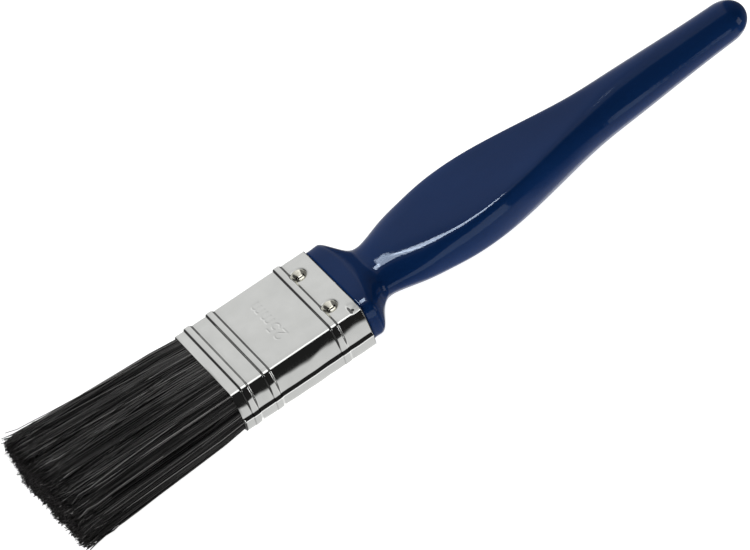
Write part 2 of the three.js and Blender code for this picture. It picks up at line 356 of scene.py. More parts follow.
def ring_faces(rings, sides, closed=False):
    """Quads between rings of `sides` points each, and back to the first ring if it's closed."""
    faces = []
    last = rings if closed else rings - 1
    for ring in range(last):
        here = ring * sides
        there = (ring + 1) % rings * sides
        for side in range(sides):
            after = (side + 1) % sides
            faces.append((here + side, here + after, there + after, there + side))
    return faces


# ---------------------------------------------------------------- ferrule


def ferrule_outline():
    """Points round the ferrule's rounded rectangle, without its bow: y, z and their normals.
    They're close together where the size mark, the back nails and the lap are."""
    half_y = FACE_WIDTH / 2 - FERRULE_CORNER
    half_z = THICKNESS / 2 - FERRULE_CORNER
    mark = MARK_WIDTH / 2 + MARK_MARGIN
    across = spread((-half_y, half_y, FACE_STEP), (-mark, mark, MARK_STEP))[1:-1]
    near, far = NAIL_ZONE
    by_nails = ((-far, -near, NAIL_STEP), (near, far, NAIL_STEP))
    back = spread((-half_y, half_y, BACK_STEP), *by_nails)[1:-1]
    by_lap = (LAP_EDGE - LAP_ZONE[0], LAP_EDGE + LAP_ZONE[1], LAP_STEP)
    lap = spread((-half_z, half_z, SIDE_STEP), by_lap)[1:-1]
    plain = spread((-half_z, half_z, SIDE_STEP))[1:-1]
    rows = []

    def corner(sign_y, sign_z, start):
        for angle in arc(start, start + 90, CORNER_POINTS):
            normal = (math.cos(angle), math.sin(angle))
            y = sign_y * half_y + FERRULE_CORNER * normal[0]
            rows.append((y, sign_z * half_z + FERRULE_CORNER * normal[1], *normal))

    corner(1, 1, 0)
    rows.extend((y, THICKNESS / 2, 0, 1) for y in across[::-1])
    corner(-1, 1, 90)
    rows.extend((-FACE_WIDTH / 2, z, -1, 0) for z in lap[::-1])
    corner(-1, -1, 180)
    rows.extend((y, -THICKNESS / 2, 0, -1) for y in back)
    corner(1, -1, 270)
    rows.extend((FACE_WIDTH / 2, z, 1, 0) for z in plain)
    return np.array(rows).T


def bow_at(x):
    """How far the ferrule's narrow sides bow out at x."""
    along = np.clip(x / FERRULE_LENGTH, 0, 1)
    return MOUTH_BOW + (HANDLE_END_BOW - MOUTH_BOW) * along


def bead_height(x):
    """How far the three rolled beads stand out at x."""
    height = np.zeros_like(x)
    for centre in BEAD_CENTRES:
        start, end = centre - BEAD_HALF_WIDTH, centre + BEAD_HALF_WIDTH
        rise = smooth_step(x, start, start + BEAD_RISE)
        fall = 1 - smooth_step(x, end - BEAD_FALL, end)
        crown = np.clip(1 - ((x - centre) / BEAD_HALF_WIDTH) ** 2, 0, 1)
        height += rise * fall * (BEAD_HEIGHT + BEAD_CROWN * (crown - 1))
        for edge in (start, end):
            height -= BEAD_DIP * np.exp(-(((x - edge) / BEAD_DIP_WIDTH) ** 2))
    return height


def arc_points(centre, radius, start, end):
    """Points on an arc, with angles in degrees."""
    angles = arc(start, end, 12)
    return [(centre[0] + radius * math.cos(a), centre[1] + radius * math.sin(a)) for a in angles]


def glyph_two():
    """A figure 2, one unit high and 0.62 wide."""
    bowl = arc_points((0.31, 0.7), 0.29, 165, -35)
    return [bowl + [(0.03, 0.0), (0.62, 0.0)]]


def glyph_five():
    """A figure 5, one unit high and 0.6 wide."""
    bowl = arc_points((0.28, 0.31), 0.31, 125, -150)
    return [[(0.56, 1.0), (0.13, 1.0), (0.1, 0.56)] + bowl[1:]]


def glyph_m():
    """A lower-case m, 0.7 units high and 0.95 wide."""
    strokes = [[(0.0, 0.0), (0.0, 0.68)]]
    for left in (0.0, 0.46):
        arch = arc_points((left + 0.23, 0.45), 0.23, 180, 0)
        strokes.append(arch + [(left + 0.46, 0.0)])
    return strokes


def mark_strokes():
    """The size mark's strokes as segments, in (across, up) millimetres about its centre."""
    figures = ((glyph_two(), 0.88), (glyph_five(), 0.95), (glyph_m(), 1.27), (glyph_m(), 0.92))
    segments, left = [], 0.0
    for glyph, advance in figures:
        for stroke in glyph:
            points = [(x + left, y) for x, y in stroke]
            segments.extend(zip(points, points[1:]))
        left += advance
    scale = np.array((MARK_WIDTH / left, MARK_HEIGHT))
    centre = np.array((MARK_WIDTH / 2, MARK_HEIGHT / 2))
    return np.array(segments) * scale - centre


def mark_depth(x, y):
    """How deep the size mark is pressed in at points on the front face. It reads along +Y, with
    the tops of its figures towards the mouth."""
    point = np.stack((y, MARK_CENTRE - x), -1)
    nearest = np.full(x.shape, 1e3)
    for start, end in mark_strokes():
        line = end - start
        share = np.clip(((point - start) @ line) / (line @ line), 0, 1)
        away = np.linalg.norm(point - start - share[..., None] * line, axis=-1)
        nearest = np.minimum(nearest, away)
    start, end = (MARK_STROKE * share for share in MARK_FLANK)
    return MARK_DEPTH * (1 - smooth_step(nearest, start, end))


def lap_relief(x, z):
    """The lapped edge on the -Y side: the outer layer below it stands out by one sheet, and its
    edge is turned up a little. The whole side is slightly uneven."""
    step = SHEET * (1 - smooth_step(z, LAP_EDGE - LAP_RAMP, LAP_EDGE + LAP_RAMP))
    lip = LAP_LIP * np.exp(-(((z - LAP_EDGE + LAP_RAMP) / LAP_LIP_WIDTH) ** 2))
    flutter = LAP_FLUTTER * ripple(0.9 * x + 0.5, 0.6 * z + 0.15 * x)
    return step + lip + flutter * (1 - (2 * z / THICKNESS) ** 2)


def nail_axis(cad_node):
    """The middle of a nail's CAD node, in millimetres."""
    low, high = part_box(cad_node)
    return (np.array(low + high) / 2 - np.array(ORIGIN)) / MM


def face_dents(x, y, z):
    """How deep the sheet is driven in round the nails, and by the dent at the front corner."""
    depth = np.zeros_like(y)
    for axis in map(nail_axis, NAILS):
        away = np.hypot(x - axis[0], y - axis[1])
        beyond = np.maximum(away - NAIL_HEAD_RADIUS * NAIL_DIMPLE_FLAT, 0)
        near = np.exp(-((beyond / NAIL_DIMPLE_REACH) ** 2))
        near *= smooth_step(x, NAIL_ROW - NAIL_DIMPLE_END[0], NAIL_ROW - NAIL_DIMPLE_END[1])
        depth += np.where(z * axis[2] > 0, NAIL_DIMPLE * near, 0)
    dent_x, dent_y, dent_depth = CORNER_DENT
    reach_back, reach_on, reach_y = CORNER_DENT_REACH
    reach_x = np.where(x < dent_x, reach_back, reach_on)
    near = np.exp(-(((x - dent_x) / reach_x) ** 2) - ((y - dent_y) / reach_y) ** 2)
    return depth + np.where(z > 0, dent_depth * near, 0)


def waviness(x, y, z):
    """The faint unevenness of pressed sheet."""
    slow = ripple(0.31 * x + 0.7, 0.37 * y + 0.4 * z + 1.1)
    quick = ripple(0.83 * x + 2.1, 0.71 * y - 0.5 * z + 0.3)
    return SHEET_WAVES[0] * slow + SHEET_WAVES[1] * quick


def ferrule_ring(x, outline, proud):
    """One ring of the ferrule at x, standing `proud` out of its plain shape."""
    y, z, normal_y, normal_z = outline
    bowed = y + np.sign(y) * bow_at(x) * (1 - (2 * z / THICKNESS) ** 2)
    points = (np.full_like(y, x), bowed + normal_y * proud, z + normal_z * proud)
    return np.stack(points, -1)


def outer_relief(x, outline):
    """How far the ferrule's outer wall at x stands out of its plain shape, round the outline."""
    y, z, normal_y, normal_z = outline
    x = np.full_like(y, x)
    marked = (normal_z > FACE_NORMAL) & (np.abs(y) < MARK_WIDTH / 2 + MARK_MARGIN)
    on_lap_side = normal_y < -FACE_NORMAL
    on_outer_layer = (normal_y < 0) & (z < LAP_EDGE)
    low_side = smooth_step(-z, LAP_FADE[0], LAP_FADE[1]) * smooth_step(-y, *LAP_FADE[2:])
    proud = bead_height(x) * (1 - (1 - LAP_BEADS) * low_side) + waviness(x, y, z)
    proud += LOW_WAVE * low_side * ripple(0.8 * x, 0.37 * x + 1)
    proud += np.where(on_lap_side, lap_relief(x, z), 0)
    proud += np.where(on_outer_layer & ~on_lap_side, -SHEET * normal_y, 0)
    proud -= np.where(marked, mark_depth(x, y), 0)
    proud -= smooth_step(np.abs(normal_z), *DENT_BLEND) * face_dents(x, y, z)
    return proud


def make_ferrule(material):
    """The wrapped strip: outer wall with beads, lap and size mark, rolled lips, and inner wall."""
    outline = ferrule_outline()
    mark = MARK_HEIGHT / 2 + MARK_MARGIN
    stations = spread(
        (LIP, FERRULE_LENGTH - LIP, RING_STEP),
        (MARK_CENTRE - mark, MARK_CENTRE + mark, MARK_STEP),
        (NAIL_ROW - NAIL_ROW_ZONE, FERRULE_LENGTH - LIP, NAIL_STEP),
        *[(centre - BEAD_ZONE, centre + BEAD_ZONE, BEAD_STEP) for centre in BEAD_CENTRES],
    )
    lip = [(LIP * (1 - math.cos(a)), LIP * (1 - math.sin(a))) for a in arc(0, 90, LIP_POINTS)[:-1]]
    inner = spread((LIP, FERRULE_LENGTH - LIP, INNER_STEP))
    rings = [ferrule_ring(x, outline, -inset) for x, inset in lip]
    rings += [ferrule_ring(x, outline, outer_relief(x, outline)) for x in stations]
    rings += [ferrule_ring(FERRULE_LENGTH - x, outline, -inset) for x, inset in lip[::-1]]
    rings += [ferrule_ring(x, outline, -SHEET) for x in inner[::-1]]
    faces = ring_faces(len(rings), len(outline[0]), closed=True)
    points = np.concatenate(rings)
    return piece("ferrule_shell", points, faces, material, ["ferrule"])


# ---------------------------------------------------------------- handle


def planed_ring(x, radius, half_thickness, sharpness, crown=0):
    """A circle planed flat above and below at x. Its points gather where it turns sharply."""
    angle = arc(0, 90, 361)
    planed = np.abs(np.sin(angle)) / half_thickness
    reach = ((1 / radius) ** sharpness + planed**sharpness) ** (-1 / sharpness)
    y, z = reach * np.cos(angle), reach * np.sin(angle)
    z = z * (1 - crown * (y / radius) ** 4)
    step_y, step_z = np.diff(y), np.diff(z)
    length = np.hypot(step_y, step_z)
    turn = np.abs(np.diff(np.unwrap(np.arctan2(step_z, step_y)), prepend=np.pi / 2))
    weight = np.append(0, np.cumsum(length / length.sum() + turn / turn.sum()))
    at = np.linspace(0, weight[-1], QUARTER_POINTS + 1)
    y, z = np.interp(at, weight, y), np.interp(at, weight, z)
    ring_y = np.concatenate((y[:-1], -y[:0:-1], -y[:-1], y[:0:-1]))
    ring_z = np.concatenate((z[:-1], z[:0:-1], -z[:-1], -z[:0:-1]))
    offset = math.tan(HANDLE_LEAN) * (x - (FERRULE_LENGTH - TANG_DEPTH / 2))
    beyond = x - FERRULE_LENGTH
    start, full, fade, end = SHOULDER_SKEW_ZONE
    skew = SHOULDER_SKEW * smooth_step(beyond, start, full) * (1 - smooth_step(beyond, fade, end))
    return np.stack((x + skew * ring_y, ring_y + offset, ring_z + offset), -1)


def handle_rings():
    """The handle's rings from the end of its tang to its tip."""
    along, radii, halves, edges, crowns = np.array(HANDLE_SECTIONS).T
    tang_start = FERRULE_LENGTH - TANG_DEPTH
    chamfered = (TANG_RADIUS - TANG_CHAMFER, TANG_HALF_THICKNESS - TANG_CHAMFER, TANG_SHARPNESS)
    full = (TANG_RADIUS, TANG_HALF_THICKNESS, TANG_SHARPNESS)
    sections = [(tang_start, *chamfered), (tang_start + TANG_CHAMFER, *full)]
    sections += [(x, *full) for x in np.linspace(tang_start + 2, FERRULE_LENGTH + 0.1, 5)]
    for angle in arc(0, 90, 6):
        x = FERRULE_LENGTH + SHOULDER_GAP + SHOULDER_ROUND * (1 - math.cos(angle))
        inset = SHOULDER_ROUND * (1 - math.sin(angle))
        sections.append((x, radii[0] - inset, halves[0] - inset, edges[0]))
    first = SHOULDER_GAP + SHOULDER_ROUND + 0.2
    tip_centre = HANDLE_LENGTH - HANDLE_TIP_LENGTH
    neck = np.arange(first, NECK_END, NECK_STEP)
    rest = np.arange(NECK_END, tip_centre, HANDLE_STEP)
    for beyond in np.concatenate((neck, rest)):
        section = [spline(along, values, beyond) for values in (radii, halves, edges, crowns)]
        sections.append((FERRULE_LENGTH + beyond, *section))
    for angle in arc(0, 88, HANDLE_TIP_RINGS):
        x = FERRULE_LENGTH + tip_centre + HANDLE_TIP_LENGTH * math.sin(angle)
        sections.append((x, HANDLE_TIP_RADIUS * math.cos(angle), halves[-1], edges[-1]))
    return [planed_ring(*section) for section in sections]


def capped(rings):
    """Points and faces of a body skinned over rings, with a fan on each end."""
    sides = len(rings[0])
    points = np.concatenate([*rings, rings[0].mean(0)[None], rings[-1].mean(0)[None]])
    faces = ring_faces(len(rings), sides)
    first, last = len(points) - 2, len(points) - 1
    base = (len(rings) - 1) * sides
    for side in range(sides):
        after = (side + 1) % sides
        faces.append((first, after, side))
        faces.append((last, base + side, base + after))
    return points, faces


def make_handle(material):
    """The turned, planed and lacquered handle with its tang."""
    points, faces = capped(handle_rings())
    return piece("handle_body", points, faces, material, ["handle"])


# ---------------------------------------------------------------- nails


def nail_profile():
    """The nail's outline from its point to the top of its dome: radius, and height above the
    underside of its head."""
    profile = [
        (NAIL_POINT_RADIUS, -NAIL_SHANK_LENGTH),
        (NAIL_SHANK_RADIUS, NAIL_POINT - NAIL_SHANK_LENGTH),
        (NAIL_SHANK_RADIUS, -NAIL_FILLET),
        (NAIL_SHANK_RADIUS + NAIL_FILLET, 0),
        (NAIL_HEAD_RADIUS - NAIL_BRIM_INSET, 0),
    ]
    brim = NAIL_HEAD_RADIUS - NAIL_BRIM_ROUND
    for angle in arc(-60, 75, 8):
        height = NAIL_BRIM_ROUND * (1 + math.sin(angle))
        profile.append((brim + NAIL_BRIM_ROUND * math.cos(angle), height))
    for angle in arc(12, 89, 16):
        rise = (NAIL_HEAD_HEIGHT - NAIL_BRIM) * math.sin(angle) ** NAIL_DOME_POWER
        profile.append((NAIL_DOME_RADIUS * math.cos(angle), NAIL_BRIM + rise))
    return profile


def make_nail(cad_node, face, material):
    """A domed nail on its CAD node's axis, on the front (+1) or back (-1) face."""
    axis = nail_axis(cad_node)
    seat = face * (THICKNESS / 2 - NAIL_DIMPLE + NAIL_SEAT)
    turns = np.radians(np.arange(0, 360, NAIL_TURN))
    rings = []
    for radius, height in nail_profile():
        y = axis[1] + radius * np.cos(turns)
        x = axis[0] + face * radius * np.sin(turns)
        rings.append(np.stack((x, y, np.full_like(x, seat + face * height)), -1))
    points, faces = capped(rings)
    return piece(cad_node + "_shape", points, faces, material, [cad_node])


# ---------------------------------------------------------------- bristles


def bundle_size(x):
    """Half width, half thickness, corner radius and bow of the whole bundle at x."""
    share = np.clip(-np.asarray(x, float) / BRISTLE_OUT, -0.05, 1.05)[..., None]
    return np.moveaxis((1 - share) * np.array(MOUTH_HALF) + share * np.array(TIP_HALF), -1, 0)


def squeeze(x):
    """How far the ferrule's mouth holds the bundle in from its free shape at x."""
    return MOUTH_SQUEEZE * np.exp(np.minimum(np.asarray(x, float), 0) / MOUTH_SWELL)


def bundle_point(u, v, x):
    """The point at (u, v), each from -1 to 1 across and through the bundle, at x."""
    half_y, half_z, _, bow = bundle_size(x)
    inset = squeeze(x)
    y = u * (half_y - inset + bow * (1 - v**2))
    return np.stack((np.broadcast_to(x, y.shape), y, v * (half_z - inset)), -1)


def scatter(random, face, density):
    """Random (u, v) over one bank's cross-section, with their depth below the surface."""
    half_y, half_z, radius, bow = TIP_HALF
    count = int(density * 2 * (half_y + bow * BOW_MEAN) * half_z)
    u = random.uniform(-1, 1, count)
    v = random.uniform(BANK_SPLIT / half_z, 1, count)
    depth_y = (half_y + bow * (1 - v**2)) * (1 - np.abs(u))
    depth_z = half_z * (1 - v)
    in_corner = (depth_y < radius) & (depth_z < radius)
    corner_depth = radius - np.hypot(radius - depth_y, radius - depth_z)
    depth = np.where(in_corner, corner_depth, np.minimum(depth_y, depth_z))
    keep = depth > 0
    return u[keep], face * v[keep], depth[keep]


def locks(random, u, v):
    """Gathers the strands at (u, v) into small locks. Returns for each strand how far its lock
    draws it across and through the bundle at the tips, and the lock's bend, paleness and
    shortness.
    The paleness is partly the lock's own colour and partly painted sheen."""
    wide, thick = TIP_HALF[0], TIP_HALF[1]
    count = int(4 * wide * thick / LOCK_SPACING**2)
    middles = random.uniform(-1, 1, (count, 2)) * (wide, thick)
    batches = np.array_split(np.stack((u * wide, v * thick), -1), LOCK_BATCHES)
    away = (((batch[:, None] - middles) ** 2).sum(-1) for batch in batches)
    mine = np.concatenate([np.argmin(distances, 1) for distances in away])
    drift = random.normal(0, LOCK_DRIFT, (count, 2))
    bend = random.normal(0, LOCK_BEND, (count, 2))
    # How pale each lock is: partly its own colour and partly painted sheen
    tone_and_sheen = random.random(count)
    short = random.uniform(0, LOCK_RAGGED * 2, count)
    drawn = (middles[mine] - np.concatenate(batches)) * LOCK_PULL + drift[mine]
    return drawn, bend[mine], tone_and_sheen[mine], short[mine]


def strand_lengths(random, u, lock_short):
    """How far each strand reaches from the mouth. Its lock may be short, and it may end early."""
    count = len(u)
    early = random.random(count) < CUT_SHORT
    ragged = np.abs(random.normal(0, TIP_RAGGED, count)) + lock_short
    ragged += early * random.uniform(0, CUT_LENGTH, count)
    return BRISTLE_OUT + TIP_REACH + TIP_SLANT * u - ragged


def strand_wander(random, u, v, lock_bend):
    """Each strand's sway at its tip and bend on the way, across and through the bundle. Strays
    sway more, though never out past the narrow sides, and stand out over their neighbours."""
    count = len(u)
    stray = random.random(count) < STRAYS
    sway = random.normal(0, STRAND_SWAY, (count, 2)) * (1, SWAY_THROUGH)
    sway[:, 0] += stray * random.normal(0, STRAY_SWAY, count)
    stays_in = np.abs(u * TIP_HALF[0] + sway[:, 0]) < TIP_HALF[0]
    sway[:, 0] = np.where(stays_in, sway[:, 0], -np.sign(u) * np.abs(sway[:, 0]))
    sway[:, 1] += stray * np.sign(v) * STRAY_LIFT / 2
    bend = lock_bend + random.normal(0, STRAND_BEND, (count, 2))
    bend[:, 1] += stray * np.sign(v) * STRAY_LIFT
    return sway, bend


def strand_skin(random, centre, out):
    """Points round the strands' centre lines, which get thinner as `out` goes from 0 to 1."""
    taper = STRAND_TIP_RADIUS + (STRAND_RADIUS - STRAND_TIP_RADIUS) * (1 - out**STRAND_TAPER_POWER)
    corners = 2 * np.pi * np.arange(STRAND_SIDES) / STRAND_SIDES
    turn = random.uniform(0, 2 * np.pi, len(centre))[:, None] + corners
    circle = np.stack((np.zeros_like(turn), np.cos(turn), np.sin(turn)), -1)
    points = centre[:, :, None] + taper[..., None] * circle[:, None]
    return points.reshape(-1, 3)


def strand_faces(count, rings):
    """Quads of `count` open strands and a cap on each tip."""
    strand_points = rings * STRAND_SIDES
    one = np.array(ring_faces(rings, STRAND_SIDES))[:, ::-1]
    quads = (one + np.arange(count)[:, None, None] * strand_points).reshape(-1, 4).tolist()
    tip = np.arange(strand_points - STRAND_SIDES, strand_points)
    caps = (np.arange(count)[:, None] * strand_points + tip).tolist()
    return quads + caps


def strands(random, u, v, start, rings):
    """Points, faces, paleness and distances to the tip of strands at (u, v) from x = start on. The
    paleness is partly painted sheen.
    """
    count = len(u)
    drawn, lock_bend, lock_tone_and_sheen, lock_short = locks(random, u, v)
    length = strand_lengths(random, u, lock_short)
    sway, bend = strand_wander(random, u, v, lock_bend)
    share = np.append(np.linspace(0, TIP_STEPS[0], rings - 3), TIP_STEPS[1:])
    x = start + (-length - start)[:, None] * share
    out = np.clip(-x / BRISTLE_OUT, 0, 1)[..., None]
    centre = bundle_point(u[:, None], v[:, None], x)
    centre[..., 1:] += (drawn + sway)[:, None] * out**SWAY_POWER
    centre[..., 1:] += bend[:, None] * np.sin(np.pi * out)
    flick = random.normal(0, STRAND_FLICK, (count, 3, 2))
    centre[:, -3:, 1:] += flick * np.reshape(FLICK_SHARES, (3, 1))
    centre[..., 2] = np.maximum(centre[..., 2], STRAND_RADIUS - ORIGIN.z / MM)
    points = strand_skin(random, centre, out)
    # Most strands stay dark; the rare pale ones carry painted sheen, standing in for highlights
    # along the filaments
    own_tone_and_sheen = random.random(count) ** SHEEN_STRAND_RARITY
    tone_and_sheen = LOCK_TONE_AND_SHEEN * lock_tone_and_sheen + (1 - LOCK_TONE_AND_SHEEN) * own_tone_and_sheen
    tones_and_sheen = np.repeat(tone_and_sheen, rings * STRAND_SIDES)
    to_tip = np.repeat((x + length[:, None]).ravel(), STRAND_SIDES)
    return points, strand_faces(count, rings), tones_and_sheen, to_tip


def core(face):
    """The dark body of a bank under its skin of strands."""
    rings = []
    for x in np.linspace(CORE_SHORT - BRISTLE_OUT, CORE_ROOT, CORE_RINGS):
        half_y, half_z, radius, bow = (float(value) for value in bundle_size(x))
        inset = CORE_INSET + float(squeeze(x))
        angle = arc(0, 90, 7)
        y = half_y - inset - radius + radius * np.cos(angle)
        z = half_z - inset - radius + radius * np.sin(angle)
        z = np.concatenate(([BANK_SPLIT], z, z[::-1], [BANK_SPLIT]))
        y = np.concatenate(([half_y - inset], y, -y[::-1], [inset - half_y]))
        y = y + np.sign(y) * bow * (1 - (z / half_z) ** 2)
        rings.append(np.stack((np.full_like(y, x), y, face * z), -1)[::face])
    return capped(rings)


def make_bank(face, cad_node, material):
    """Half of the bristles: a skin of full-length strands and a field of tips over a core."""
    random = np.random.default_rng(SEED + face)
    u, v, depth = scatter(random, face, SKIN_DENSITY)
    skin = depth < SKIN_DEPTH
    parts = [strands(random, u[skin], v[skin], SKIN_ROOT, SKIN_RINGS)]
    u, v, depth = scatter(random, face, STUB_DENSITY)
    inner = depth >= SKIN_DEPTH
    parts.append(strands(random, u[inner], v[inner], STUB_LENGTH - BRISTLE_OUT, STUB_RINGS))
    core_points, core_faces = core(face)
    plain = np.ones(len(core_points))
    parts.append((core_points, core_faces, 0 * plain, CORE_SHORT * plain))
    faces = []
    before = 0
    for part_points, part_faces, _, _ in parts:
        faces.extend(tuple(i + before for i in corners) for corners in part_faces)
        before += len(part_points)
    points, tone_and_sheen, to_tip = (np.concatenate([part[i] for part in parts]) for i in (0, 2, 3))
    # The strands' paleness, which is partly painted sheen, goes to the material as an attribute
    attributes = {"tone_and_sheen": tone_and_sheen, "to_tip": to_tip}
    name = cad_node.replace("bank", "strands")
    return piece(name, points, faces, material, [cad_node], attributes)


# ---------------------------------------------------------------- materials


def new_material(name, **sockets):
    """A material with a Principled shader, whose uniform values are set on its own sockets."""
    material = bpy.data.materials.new(name)
    material.use_nodes = True
    shader = material.node_tree.nodes["Principled BSDF"]
    for key, value in sockets.items():
        shader.inputs[key.replace("_", " ")].default_value = value
    return material, material.node_tree, shader


def node(tree, kind, inputs=None, **settings):
    """A shader node, with its settings, and with its inputs set to values or linked to sockets."""
    made = tree.nodes.new("ShaderNode" + kind)
    for key, value in settings.items():
        setattr(made, key, value)
    for key, value in (inputs or {}).items():
        if isinstance(value, bpy.types.NodeSocket):
            tree.links.new(value, made.inputs[key])
        else:
            made.inputs[key].default_value = value
    return made


def noise(tree, size, detail=3, stretch=(1, 1, 1)):
    """Noise whose features are about `size` millimetres, times `stretch` along each axis."""
    scale = [1 / (size * MM * s) for s in stretch]
    place = node(tree, "TexCoord").outputs["Object"]
    scaled = node(tree, "Mapping", {"Vector": place, "Scale": scale}).outputs["Vector"]
    made = node(tree, "TexNoise", {"Vector": scaled, "Scale": 1, "Detail": detail})
    return made.outputs["Fac"]


def ramp(tree, value, low, high, start, end):
    """`value` between low and high, turned into a number from start to end."""
    inputs = {"Value": value, "From Min": low, "From Max": high, "To Min": start, "To Max": end}
    return node(tree, "MapRange", inputs).outputs["Result"]


def mix(tree, share, first, second):
    """Two colours mixed by share."""
    made = node(tree, "Mix", {"Factor": share}, data_type="RGBA")
    for socket, value in ((made.inputs[6], first), (made.inputs[7], second)):
        if isinstance(value, bpy.types.NodeSocket):
            tree.links.new(value, socket)
        else:
            socket.default_value = (*value, 1)
    return made.outputs[2]


def link(tree, shader, **values):
    """Links values to the shader's sockets of those names."""
    for key, value in values.items():
        tree.links.new(value, shader.inputs[key.replace("_", " ")])


def bump(tree, height, depth, normal=None):
    """Bump from a 0 to 1 height that is `depth` millimetres high."""
    inputs = {"Height": height, "Distance": depth * MM, "Strength": 1}
    if normal is not None:
        inputs["Normal"] = normal
    return node(tree, "Bump", inputs).outputs["Normal"]


def lacquer():
    """Dark blue lacquer over wood: slow colour drift, grain showing through, orange peel."""
    material, tree, shader = new_material("lacquered_wood", Specular_IOR_Level=0.13)
    drift = ramp(tree, noise(tree, 14, 3, (2.5, 1, 1)), 0.35, 0.65, 0, 1)
    colour = mix(tree, drift, (0.0062, 0.037, 0.152), (0.0082, 0.046, 0.185))
    grain = noise(tree, 0.9, 4, (30, 1, 1))
    peel = noise(tree, 0.9, 3)
    dust = ramp(tree, noise(tree, 0.3, 2), 0.6, 0.75, 0, 0.12)
    colour = mix(tree, dust, colour, (0.05, 0.09, 0.24))
    normal = bump(tree, grain, 0.01)
    normal = bump(tree, peel, 0.012, normal)
    rough = ramp(tree, noise(tree, 3, 4), 0.3, 0.7, 0.05, 0.09)
    link(tree, shader, Base_Color=colour, Normal=normal, Roughness=rough)
    return material


def plated_steel():
    """Bright plate on pressed steel, with the rolling lines that run round the ferrule."""
    material, tree, shader = new_material("plated_steel", Metallic=1.0)
    cloud = ramp(tree, noise(tree, 5, 4), 0.3, 0.7, 0, 1)
    colour = mix(tree, cloud, (0.63, 0.635, 0.62), (0.68, 0.685, 0.67))
    lines = noise(tree, 0.12, 3, (1, 60, 60))
    smudge = noise(tree, 2.2, 5)
    normal = bump(tree, lines, 0.0012)
    rough = ramp(tree, smudge, 0.3, 0.7, 0.06, 0.12)
    link(tree, shader, Base_Color=colour, Normal=normal, Roughness=rough)
    return material


def nail_plating():
    """Slightly yellow plate on drawn steel nails."""
    material, tree, shader = new_material("nail_plating", Metallic=1.0)
    cloud = noise(tree, 0.7, 4)
    colour = mix(tree, ramp(tree, cloud, 0.35, 0.65, 0, 1), (0.7, 0.68, 0.58), (0.82, 0.8, 0.71))
    rough = ramp(tree, cloud, 0.3, 0.7, 0.06, 0.14)
    normal = bump(tree, noise(tree, 0.8, 2), 0.04)
    link(tree, shader, Base_Color=colour, Normal=normal, Roughness=rough)
    return material


def bristle():
    """Black filaments, a little paler at random and much paler in rare strands, which is painted
    sheen standing in for highlights along them, and with paler tips.
    """
    material, tree, shader = new_material("bristle", Specular_IOR_Level=0.18)
    tone_and_sheen = node(tree, "Attribute", attribute_name="tone_and_sheen").outputs["Fac"]
    to_tip = node(tree, "Attribute", attribute_name="to_tip").outputs["Fac"]
    # Painted sheen: pale strands go up to about half white, for the highlights along the filaments
    dark = mix(tree, tone_and_sheen, (0.014, 0.014, 0.014), (0.52, 0.51, 0.5))
    tip = ramp(tree, to_tip, 0, 0.7, 0.8, 0)
    colour = mix(tree, tip, dark, (0.075, 0.068, 0.07))
    streak = noise(tree, 0.25, 3, (12, 1, 1))
    rough = ramp(tree, streak, 0.3, 0.7, 0.32, 0.55)
    link(tree, shader, Base_Color=colour, Roughness=rough)
    return material


def resin():
    """Cured amber resin with cloudy patches."""
    material, tree, shader = new_material("resin", Specular_IOR_Level=0.5)
    cloud = ramp(tree, noise(tree, 2.5, 5), 0.35, 0.65, 0, 1)
    colour = mix(tree, cloud, (0.32, 0.17, 0.045), (0.5, 0.31, 0.1))
    rough = ramp(tree, noise(tree, 0.8, 3), 0.3, 0.7, 0.25, 0.45)
    normal = bump(tree, noise(tree, 0.6, 4), 0.03)
    link(tree, shader, Base_Color=colour, Normal=normal, Roughness=rough)
    return material


def bare_wood():
    """Bare sawn wood with grain along the brush."""
    material, tree, shader = new_material("bare_wood", Specular_IOR_Level=0.3)
    grain = noise(tree, 0.5, 6, (14, 1, 1))
    colour = mix(tree, ramp(tree, grain, 0.3, 0.7, 0, 1), (0.42, 0.27, 0.13), (0.68, 0.5, 0.31))
    rough = ramp(tree, grain, 0.3, 0.7, 0.6, 0.85)
    link(tree, shader, Base_Color=colour, Normal=bump(tree, grain, 0.04), Roughness=rough)
    return material


# ---------------------------------------------------------------- stage


def make_floor():
    """A plain pale floor under the brush, which glows so that it looks white and unshaded."""
    sockets = {"Roughness": 0.9, "Specular_IOR_Level": 0.0, "Emission_Color": (1, 1, 1, 1)}
    material, tree, shader = new_material("floor", **sockets)
    seen = node(tree, "LightPath").outputs["Is Camera Ray"]
    glow = ramp(tree, seen, 0, 1, *FLOOR_GLOW)
    colour = mix(tree, noise(tree, 60, 2), (0.5, 0.5, 0.5), (0.52, 0.52, 0.52))
    link(tree, shader, Base_Color=colour, Emission_Strength=glow)
    mesh = bpy.data.meshes.new("floor")
    around = ((-1, -1), (1, -1), (1, 1), (-1, 1))
    corners = [(x * FLOOR_REACH, y * FLOOR_REACH, 0) for x, y in around]
    mesh.from_pydata(corners, [], [(0, 1, 2, 3)])
    mesh.materials.append(material)
    floor = bpy.data.objects.new("floor", mesh)
    bpy.context.scene.collection.objects.link(floor)
    floor.visible_glossy = False


